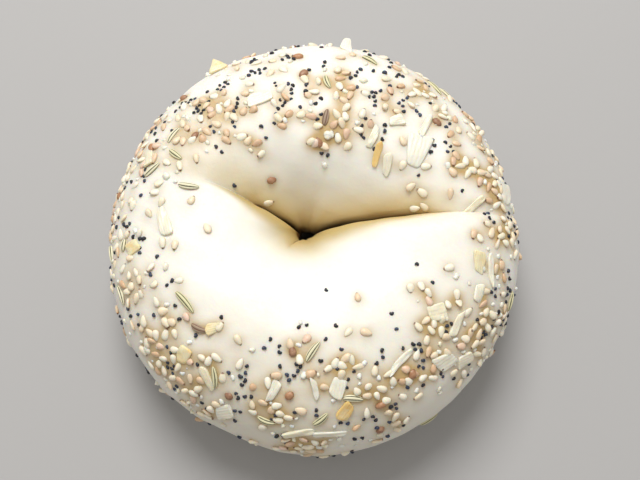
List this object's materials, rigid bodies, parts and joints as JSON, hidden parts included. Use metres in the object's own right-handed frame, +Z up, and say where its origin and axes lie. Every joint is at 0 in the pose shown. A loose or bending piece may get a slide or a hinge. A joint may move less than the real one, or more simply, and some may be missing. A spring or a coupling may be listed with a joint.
{
  "type": "bagel",
  "caption": "Plump seeded bagel of pale dough whose hole has closed to a slit between two creases, with sesame, poppy, fennel and onion toppings on its top and sides.",
  "frame": {"origin": "centre of the bagel's bounding box, on the surface it stands on", "axes": "+Z up through the bagel, from its flat underside to its topped crown; +X to the right of the picture, along the longer crease; +Y to the picture's top"},
  "size_m": [0.1029, 0.1055, 0.0396],
  "materials": {
    "dough": "satin",
    "sesame": "satin",
    "poppy": "matte",
    "fennel": "matte",
    "onion": "satin",
    "brown_seed": "satin"
  },
  "bodies": {
    "root": {"bagel": "dough"}
  },
  "joints": []
}
